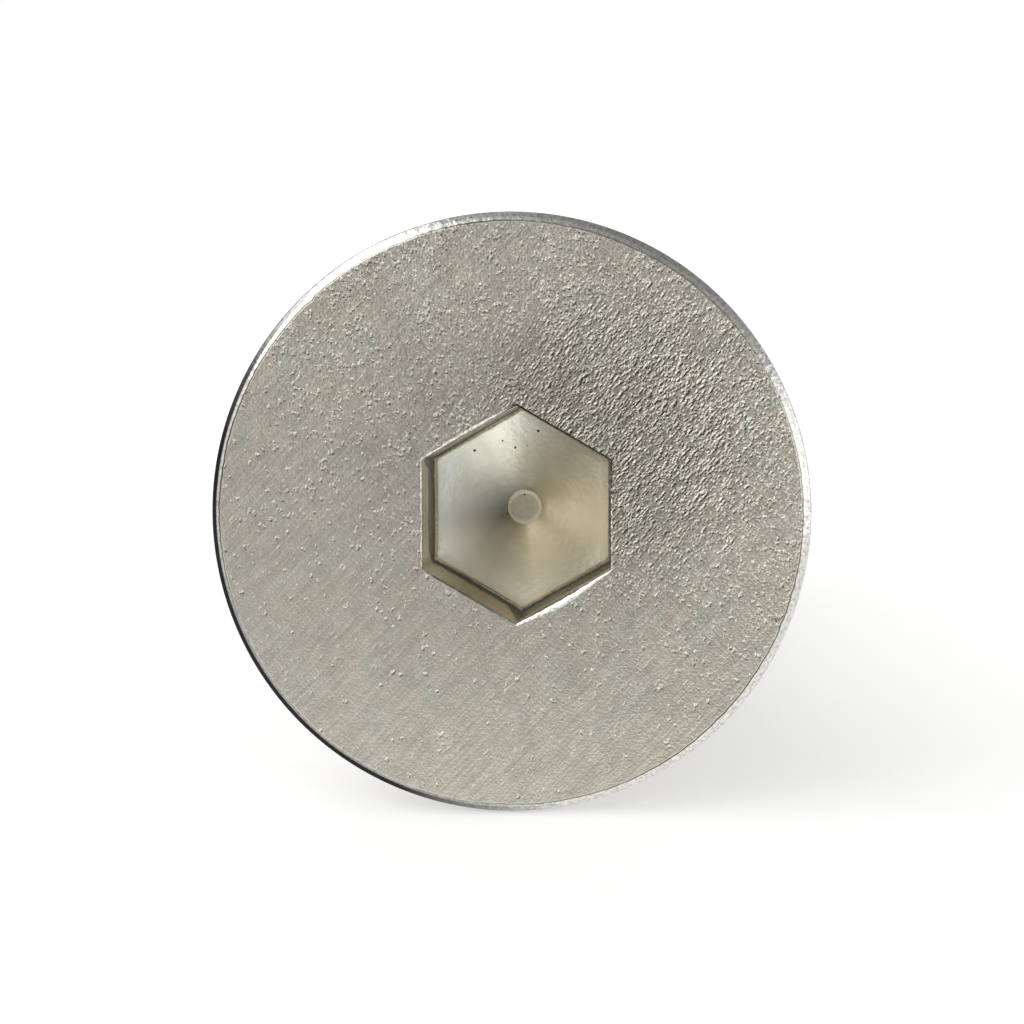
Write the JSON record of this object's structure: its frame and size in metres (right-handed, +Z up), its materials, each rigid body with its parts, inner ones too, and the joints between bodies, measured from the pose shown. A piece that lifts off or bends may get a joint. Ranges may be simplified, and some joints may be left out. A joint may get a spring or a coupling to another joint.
{
  "type": "countersunk socket screw",
  "caption": "Countersunk machine screw with a hexagon socket in its flat head and a coarse metric thread up to the neck.",
  "frame": {"origin": "centre of the underside of the box around the screw as it lies on a table, at table height", "axes": "+Z up; +Y from the head towards the tip, along the screw seen from above; the screw's axis slopes down by 12.6 degrees towards the tip, because it lies on the edge of its head and on its thread; two flats of the socket face +X and -X"},
  "size_m": [0.016, 0.022, 0.0157],
  "materials": {
    "steel": "bare stainless steel: a finely granular forged head face with a bright bevelled rim, a smoother socket and a rolled thread"
  },
  "bodies": {
    "root": {"screw": "steel"}
  },
  "joints": []
}
